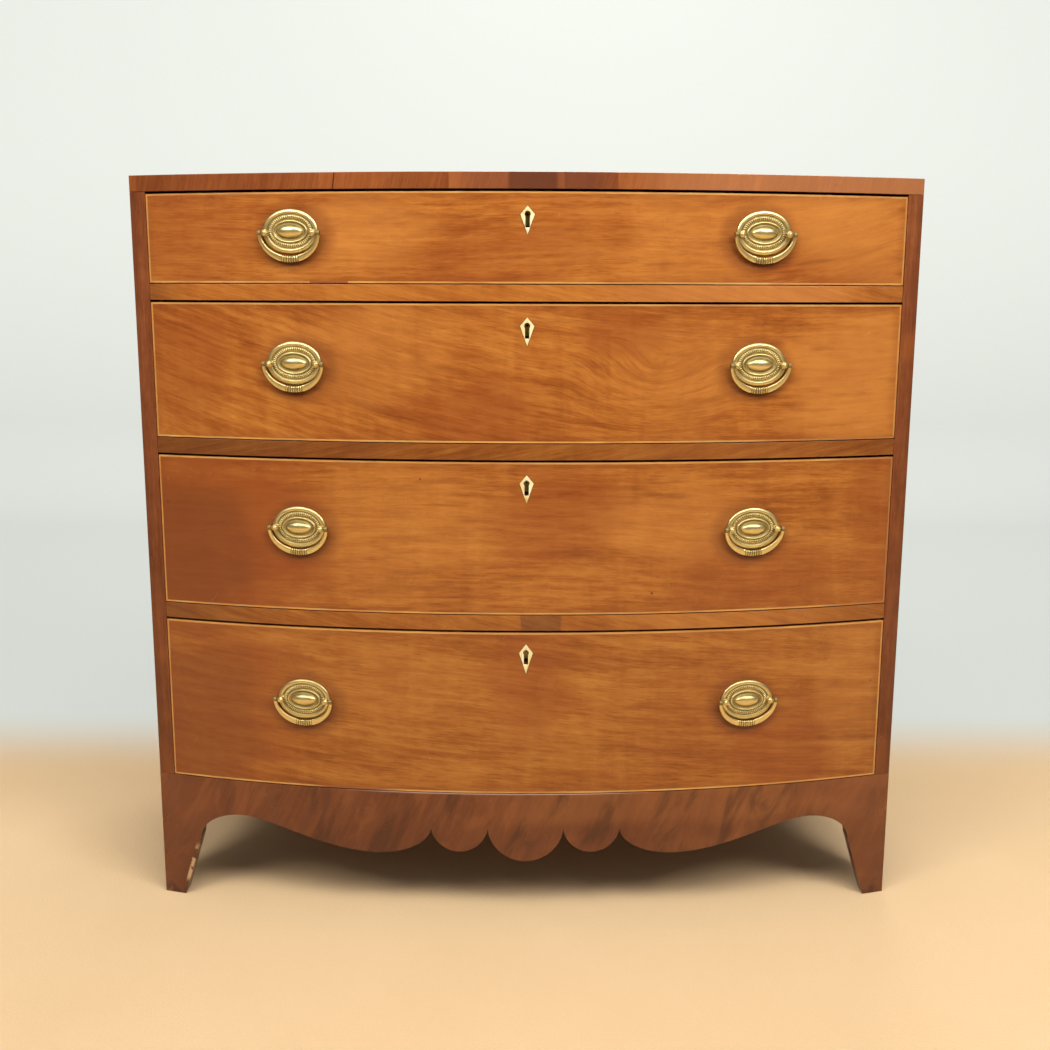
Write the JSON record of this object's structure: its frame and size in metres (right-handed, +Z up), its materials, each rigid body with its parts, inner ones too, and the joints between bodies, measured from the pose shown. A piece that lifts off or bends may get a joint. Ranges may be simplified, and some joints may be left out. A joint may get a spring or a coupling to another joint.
{
  "type": "bow front chest of drawers",
  "caption": "Bow front mahogany chest of long graduated drawers with oval brass bail handles, bone keyhole plates, a scalloped apron and bracket feet.",
  "frame": {"origin": "on the floor, under the middle of the whole chest's footprint", "axes": "+Z up, the drawers face -Y, +X to the right of someone who faces the drawers"},
  "size_m": [1.04, 0.53, 1.003],
  "materials": {
    "mahogany_carcass": "french polished, dark red-brown veneer",
    "mahogany_fronts": "french polished, golden faded veneer with pale stringing at the edges",
    "pine": "bare aged pine",
    "oak": "bare aged oak",
    "bone": "polished aged bone",
    "brass": "aged, rubbed bright on the high places",
    "lock_brass": "dull aged brass",
    "iron": "dull aged iron"
  },
  "bodies": {
    "carcass": {"top_panel": "mahogany_carcass", "side_panel_left": "mahogany_carcass", "side_panel_right": "mahogany_carcass", "apron": "mahogany_carcass", "bottom_board": "pine", "back_panel": "pine", "rail_1": "mahogany_carcass", "dust_board_1": "pine", "rail_2": "mahogany_carcass", "dust_board_2": "pine", "rail_3": "mahogany_carcass", "dust_board_3": "pine"},
    "drawer_1": {"drawer_1_front": "mahogany_fronts", "drawer_1_side_left": "oak", "drawer_1_side_right": "oak", "drawer_1_back": "oak", "drawer_1_bottom": "oak", "drawer_1_escutcheon": "bone", "drawer_1_lock": "lock_brass", "drawer_1_plate_left": "brass", "drawer_1_plate_right": "brass"},
    "drawer_2": {"drawer_2_front": "mahogany_fronts", "drawer_2_side_left": "oak", "drawer_2_side_right": "oak", "drawer_2_back": "oak", "drawer_2_bottom": "oak", "drawer_2_escutcheon": "bone", "drawer_2_lock": "lock_brass", "drawer_2_plate_left": "brass", "drawer_2_plate_right": "brass"},
    "drawer_3": {"drawer_3_front": "mahogany_fronts", "drawer_3_side_left": "oak", "drawer_3_side_right": "oak", "drawer_3_back": "oak", "drawer_3_bottom": "oak", "drawer_3_escutcheon": "bone", "drawer_3_lock": "lock_brass", "drawer_3_plate_left": "brass", "drawer_3_plate_right": "brass"},
    "drawer_4": {"drawer_4_front": "mahogany_fronts", "drawer_4_side_left": "oak", "drawer_4_side_right": "oak", "drawer_4_back": "oak", "drawer_4_bottom": "oak", "drawer_4_escutcheon": "bone", "drawer_4_lock": "lock_brass", "drawer_4_plate_left": "brass", "drawer_4_plate_right": "brass"},
    "bolt_1": {"drawer_1_bolt": "iron"},
    "bail_1_left": {"drawer_1_bail_left": "brass"},
    "bail_1_right": {"drawer_1_bail_right": "brass"},
    "bolt_2": {"drawer_2_bolt": "iron"},
    "bail_2_left": {"drawer_2_bail_left": "brass"},
    "bail_2_right": {"drawer_2_bail_right": "brass"},
    "bolt_3": {"drawer_3_bolt": "iron"},
    "bail_3_left": {"drawer_3_bail_left": "brass"},
    "bail_3_right": {"drawer_3_bail_right": "brass"},
    "bolt_4": {"drawer_4_bolt": "iron"},
    "bail_4_left": {"drawer_4_bail_left": "brass"},
    "bail_4_right": {"drawer_4_bail_right": "brass"}
  },
  "joints": [
    {"name": "drawer_1_slide", "type": "slide", "parent": "carcass", "child": "drawer_1", "axis": [0, -1, 0], "range_m": [0, 0.36]},
    {"name": "drawer_2_slide", "type": "slide", "parent": "carcass", "child": "drawer_2", "axis": [0, -1, 0], "range_m": [0, 0.36]},
    {"name": "drawer_3_slide", "type": "slide", "parent": "carcass", "child": "drawer_3", "axis": [0, -1, 0], "range_m": [0, 0.36]},
    {"name": "drawer_4_slide", "type": "slide", "parent": "carcass", "child": "drawer_4", "axis": [0, -1, 0], "range_m": [0, 0.36]},
    {"name": "drawer_1_bolt_slide", "type": "slide", "parent": "drawer_1", "child": "bolt_1", "axis": [0, 0, 1], "range_m": [0, 0.008]},
    {"name": "drawer_1_bail_left_hinge", "type": "hinge", "parent": "drawer_1", "child": "bail_1_left", "pos_m": [-0.30327, -0.24663, 0.9284], "axis": [-0.9856, 0.1694, 0], "range_deg": [0, 180]},
    {"name": "drawer_1_bail_right_hinge", "type": "hinge", "parent": "drawer_1", "child": "bail_1_right", "pos_m": [0.30327, -0.24663, 0.9284], "axis": [-0.9856, -0.1694, 0], "range_deg": [0, 180]},
    {"name": "drawer_2_bolt_slide", "type": "slide", "parent": "drawer_2", "child": "bolt_2", "axis": [0, 0, 1], "range_m": [0, 0.008]},
    {"name": "drawer_2_bail_left_hinge", "type": "hinge", "parent": "drawer_2", "child": "bail_2_left", "pos_m": [-0.30327, -0.24663, 0.76285], "axis": [-0.9856, 0.1694, 0], "range_deg": [0, 180]},
    {"name": "drawer_2_bail_right_hinge", "type": "hinge", "parent": "drawer_2", "child": "bail_2_right", "pos_m": [0.30327, -0.24663, 0.76285], "axis": [-0.9856, -0.1694, 0], "range_deg": [0, 180]},
    {"name": "drawer_3_bolt_slide", "type": "slide", "parent": "drawer_3", "child": "bolt_3", "axis": [0, 0, 1], "range_m": [0, 0.008]},
    {"name": "drawer_3_bail_left_hinge", "type": "hinge", "parent": "drawer_3", "child": "bail_3_left", "pos_m": [-0.30327, -0.24663, 0.5468], "axis": [-0.9856, 0.1694, 0], "range_deg": [0, 180]},
    {"name": "drawer_3_bail_right_hinge", "type": "hinge", "parent": "drawer_3", "child": "bail_3_right", "pos_m": [0.30327, -0.24663, 0.5468], "axis": [-0.9856, -0.1694, 0], "range_deg": [0, 180]},
    {"name": "drawer_4_bolt_slide", "type": "slide", "parent": "drawer_4", "child": "bolt_4", "axis": [0, 0, 1], "range_m": [0, 0.008]},
    {"name": "drawer_4_bail_left_hinge", "type": "hinge", "parent": "drawer_4", "child": "bail_4_left", "pos_m": [-0.30327, -0.24663, 0.3084], "axis": [-0.9856, 0.1694, 0], "range_deg": [0, 180]},
    {"name": "drawer_4_bail_right_hinge", "type": "hinge", "parent": "drawer_4", "child": "bail_4_right", "pos_m": [0.30327, -0.24663, 0.3084], "axis": [-0.9856, -0.1694, 0], "range_deg": [0, 180]}
  ]
}
